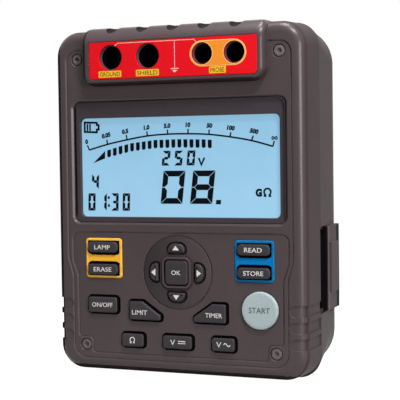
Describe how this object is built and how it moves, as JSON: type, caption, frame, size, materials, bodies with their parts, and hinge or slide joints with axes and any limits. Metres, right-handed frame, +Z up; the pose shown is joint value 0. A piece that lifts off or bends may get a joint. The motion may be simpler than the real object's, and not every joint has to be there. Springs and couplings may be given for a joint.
{
  "type": "insulation resistance tester",
  "caption": "Upright hand-held insulation resistance tester with a blue LCD, red terminal panel, push keys, finger grips and a sliding side port cover.",
  "frame": {"origin": "on the base, midway across the width and midway through the depth", "axes": "+Z up, +Y towards the back, -Y out of the panel, +X to the panel's right"},
  "size_m": [0.1562, 0.093, 0.2023],
  "materials": {
    "case": "fine moulded texture, warm dark grey",
    "frame": "satin dark grey surround",
    "keys": "satin dark grey with white lettering",
    "test_key": "satin pale grey-green",
    "red_panel": "printed red label plate with an orange area",
    "yellow_plate": "printed yellow key plate",
    "blue_plate": "printed blue key plate",
    "lens": "clear window",
    "lcd": "blue lit LCD with dark segments",
    "backlight": "white light guide",
    "black_plastic": "black insulating plastic",
    "contact_brass": "turned brass",
    "rubber": "grey silicone web",
    "board": "green circuit board",
    "ferrite": "dark ferrite with a wound bobbin",
    "socket_steel": "plated sheet metal",
    "cell": null,
    "screw": "dark screws"
  },
  "bodies": {
    "root": {"front_shell": "case", "rear_shell": "case", "battery_cover": "case", "display_frame": "frame", "display_lens": "lens", "lcd_panel": "lcd", "backlight": "backlight", "terminal_panel": "red_panel", "jack_block": "black_plastic", "jack_contact_earth": "contact_brass", "jack_contact_guard": "contact_brass", "jack_contact_line": "contact_brass", "jack_contact_line_shield": "contact_brass", "yellow_key_plate": "yellow_plate", "blue_key_plate": "blue_plate", "keypad_mat": "rubber", "key_board": "board", "main_board": "board", "port_board": "board", "hv_transformer": "ferrite", "buzzer": "black_plastic", "power_socket": "black_plastic", "data_socket": "socket_steel", "battery_tray": "black_plastic", "battery_1": "cell", "battery_2": "cell", "battery_3": "cell", "battery_4": "cell", "battery_5": "cell", "battery_6": "cell", "battery_7": "cell", "battery_8": "cell", "battery_cover_screw": "screw", "case_screw_1": "screw", "case_screw_2": "screw", "case_screw_3": "screw", "case_screw_4": "screw"},
    "key_lamp": {"key_lamp": "keys"},
    "key_erase": {"key_erase": "keys"},
    "key_read": {"key_read": "keys"},
    "key_store": {"key_store": "keys"},
    "key_power": {"key_power": "keys"},
    "key_limit": {"key_limit": "keys"},
    "key_timer": {"key_timer": "keys"},
    "key_up": {"key_up": "keys"},
    "key_down": {"key_down": "keys"},
    "key_left": {"key_left": "keys"},
    "key_right": {"key_right": "keys"},
    "key_enter": {"key_enter": "keys"},
    "key_test": {"key_test": "test_key"},
    "key_ohms": {"key_ohms": "keys"},
    "key_dc_volts": {"key_dc_volts": "keys"},
    "key_ac_volts": {"key_ac_volts": "keys"},
    "port_cover": {"port_cover": "case"}
  },
  "joints": [
    {"name": "press_lamp", "type": "slide", "parent": "root", "child": "key_lamp", "axis": [0, 1, 0], "range_m": [0, 0.0012], "stiffness_N_per_m": 600},
    {"name": "press_erase", "type": "slide", "parent": "root", "child": "key_erase", "axis": [0, 1, 0], "range_m": [0, 0.0012], "stiffness_N_per_m": 600},
    {"name": "press_read", "type": "slide", "parent": "root", "child": "key_read", "axis": [0, 1, 0], "range_m": [0, 0.0012], "stiffness_N_per_m": 600},
    {"name": "press_store", "type": "slide", "parent": "root", "child": "key_store", "axis": [0, 1, 0], "range_m": [0, 0.0012], "stiffness_N_per_m": 600},
    {"name": "press_power", "type": "slide", "parent": "root", "child": "key_power", "axis": [0, 1, 0], "range_m": [0, 0.0012], "stiffness_N_per_m": 600},
    {"name": "press_limit", "type": "slide", "parent": "root", "child": "key_limit", "axis": [0, 1, 0], "range_m": [0, 0.0012], "stiffness_N_per_m": 600},
    {"name": "press_timer", "type": "slide", "parent": "root", "child": "key_timer", "axis": [0, 1, 0], "range_m": [0, 0.0012], "stiffness_N_per_m": 600},
    {"name": "press_up", "type": "slide", "parent": "root", "child": "key_up", "axis": [0, 1, 0], "range_m": [0, 0.0012], "stiffness_N_per_m": 600},
    {"name": "press_down", "type": "slide", "parent": "root", "child": "key_down", "axis": [0, 1, 0], "range_m": [0, 0.0012], "stiffness_N_per_m": 600},
    {"name": "press_left", "type": "slide", "parent": "root", "child": "key_left", "axis": [0, 1, 0], "range_m": [0, 0.0012], "stiffness_N_per_m": 600},
    {"name": "press_right", "type": "slide", "parent": "root", "child": "key_right", "axis": [0, 1, 0], "range_m": [0, 0.0012], "stiffness_N_per_m": 600},
    {"name": "press_enter", "type": "slide", "parent": "root", "child": "key_enter", "axis": [0, 1, 0], "range_m": [0, 0.0012], "stiffness_N_per_m": 600},
    {"name": "press_test", "type": "slide", "parent": "root", "child": "key_test", "axis": [0, 1, 0], "range_m": [0, 0.0012], "stiffness_N_per_m": 600},
    {"name": "press_ohms", "type": "slide", "parent": "root", "child": "key_ohms", "axis": [0, 1, 0], "range_m": [0, 0.0012], "stiffness_N_per_m": 600},
    {"name": "press_dc_volts", "type": "slide", "parent": "root", "child": "key_dc_volts", "axis": [0, 1, 0], "range_m": [0, 0.0012], "stiffness_N_per_m": 600},
    {"name": "press_ac_volts", "type": "slide", "parent": "root", "child": "key_ac_volts", "axis": [0, 1, 0], "range_m": [0, 0.0012], "stiffness_N_per_m": 600},
    {"name": "slide_port_cover", "type": "slide", "parent": "root", "child": "port_cover", "axis": [0, 1, 0], "range_m": [-0.014, 0]}
  ]
}
